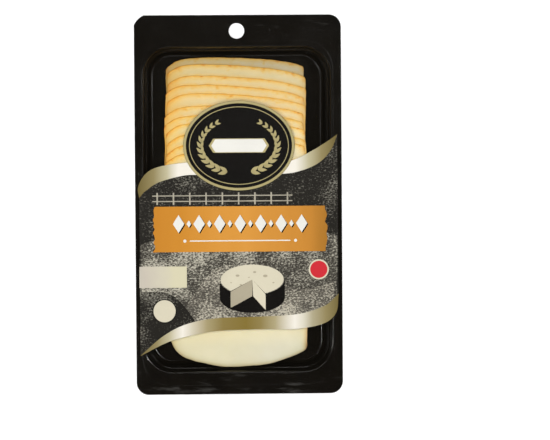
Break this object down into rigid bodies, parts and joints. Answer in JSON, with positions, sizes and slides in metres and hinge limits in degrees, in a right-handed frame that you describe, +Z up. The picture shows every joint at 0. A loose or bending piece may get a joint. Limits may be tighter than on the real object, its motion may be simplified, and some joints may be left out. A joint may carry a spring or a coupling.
{
  "type": "sliced muenster cheese pack",
  "caption": "Shallow black tray of shingled thin cheese slices with orange rind edges, closed by a clear film with ribbon, banner and oval print and a round hang hole",
  "frame": {"origin": "middle of the pack's footprint, on the surface that the tray's floor rests on", "axes": "+X across the pack, to the right as the buyer reads it; +Y along the pack, towards the hang hole; +Z up, out of the clear film. The pack lies on its back."},
  "size_m": [0.127, 0.233, 0.0245],
  "materials": {
    "tray_plastic": "black formed plastic sheet, satin gloss",
    "cheese": "smooth, slightly moist cheese paste with a thin orange rind on its edge",
    "clear_film": "clear glossy lidding film",
    "black_ink": "black print with fine gold rims",
    "gold_ink": "metallic gold print, shaded from olive gold to cream",
    "orange_ink": "orange print with a worn edge",
    "cream_ink": "plain cream print",
    "grey_ink": "charcoal print with pale grey speckle"
  },
  "bodies": {
    "root": {"tray": "tray_plastic", "slice_01": "cheese", "slice_02": "cheese", "slice_03": "cheese", "slice_04": "cheese", "slice_05": "cheese", "slice_06": "cheese", "slice_07": "cheese", "slice_08": "cheese", "slice_09": "cheese", "slice_10": "cheese", "slice_11": "cheese", "slice_12": "cheese", "lid_film": "clear_film", "lid_badge": "black_ink", "lid_banner": "orange_ink", "lid_panel": "cream_ink", "lid_ribbon_left": "gold_ink", "lid_ribbon_right": "gold_ink", "lid_ribbon_lower": "gold_ink", "lid_field": "grey_ink"}
  },
  "joints": []
}
